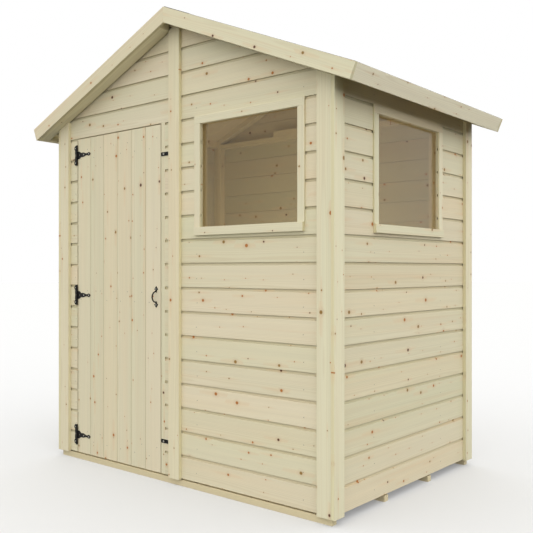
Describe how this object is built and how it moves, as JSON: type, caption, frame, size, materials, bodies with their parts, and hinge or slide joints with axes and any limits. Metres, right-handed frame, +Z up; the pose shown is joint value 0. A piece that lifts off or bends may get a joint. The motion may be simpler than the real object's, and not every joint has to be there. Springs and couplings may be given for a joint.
{
  "type": "apex garden shed",
  "caption": "Small softwood apex shed with horizontal boarded walls, a hinged boarded door, fixed windows and a felted roof.",
  "frame": {"origin": "on the ground under the middle of the roof", "axes": "+Z up, -Y out of the gable with the door, +X to the right when facing that gable from outside"},
  "size_m": [2.11, 1.387, 2.2326],
  "materials": {
    "timber": "pale pressure-treated softwood, smooth planed, with knots",
    "frame_timber": "planed softwood framing and floor boards",
    "roofing_felt": "mineral roofing felt, rough and dark",
    "glazing": "clear glazing sheet, slightly grey-brown",
    "black_iron": "black painted iron, satin",
    "plated_screw": "bright plated screws"
  },
  "bodies": {
    "shell": {"floor_bearer_1": "frame_timber", "floor_bearer_2": "frame_timber", "floor_bearer_3": "frame_timber", "floor_bearer_4": "frame_timber", "floor_deck": "frame_timber", "hinge_side_cladding": "timber", "latch_side_cladding": "timber", "over_door_cladding": "timber", "window_side_cladding": "timber", "back_left_cladding": "timber", "back_right_cladding": "timber", "left_wall_cladding": "timber", "right_wall_cladding": "timber", "front_wall_studs": "frame_timber", "front_wall_rails": "frame_timber", "back_wall_studs": "frame_timber", "back_wall_rails": "frame_timber", "back_gable_ties": "frame_timber", "left_wall_studs": "frame_timber", "left_wall_rails": "frame_timber", "right_wall_studs": "frame_timber", "right_wall_rails": "frame_timber", "gable_corner_trims": "timber", "side_corner_trims": "timber", "gable_battens": "timber", "front_window_casing": "timber", "side_window_casing": "timber", "window_sills": "timber", "window_glass": "glazing", "left_roof_boards": "frame_timber", "right_roof_boards": "frame_timber", "roof_felt": "roofing_felt", "roof_frame": "frame_timber", "left_bargeboards": "timber", "right_bargeboards": "timber", "eave_fascias": "timber", "door_stops": "frame_timber", "hinge_plates": "black_iron", "turn_button_screws": "plated_screw"},
    "door": {"door_boards": "timber", "door_ledges": "frame_timber", "hinge_straps": "black_iron", "door_handle": "black_iron"},
    "turn_button_top": {"turn_button_top": "black_iron"},
    "turn_button_bottom": {"turn_button_bottom": "black_iron"}
  },
  "joints": [
    {"name": "door_swing", "type": "hinge", "parent": "shell", "child": "door", "pos_m": [-0.7665, -0.6155, 0.8765], "axis": [0, 0, -1], "range_deg": [0, 150]},
    {"name": "button_turn_top", "type": "hinge", "parent": "shell", "child": "turn_button_top", "pos_m": [-0.081, -0.6125, 1.565], "axis": [0, -1, 0], "range_deg": [0, 90]},
    {"name": "button_turn_bottom", "type": "hinge", "parent": "shell", "child": "turn_button_bottom", "pos_m": [-0.081, -0.6125, 0.192], "axis": [0, -1, 0], "range_deg": [0, 90]}
  ]
}
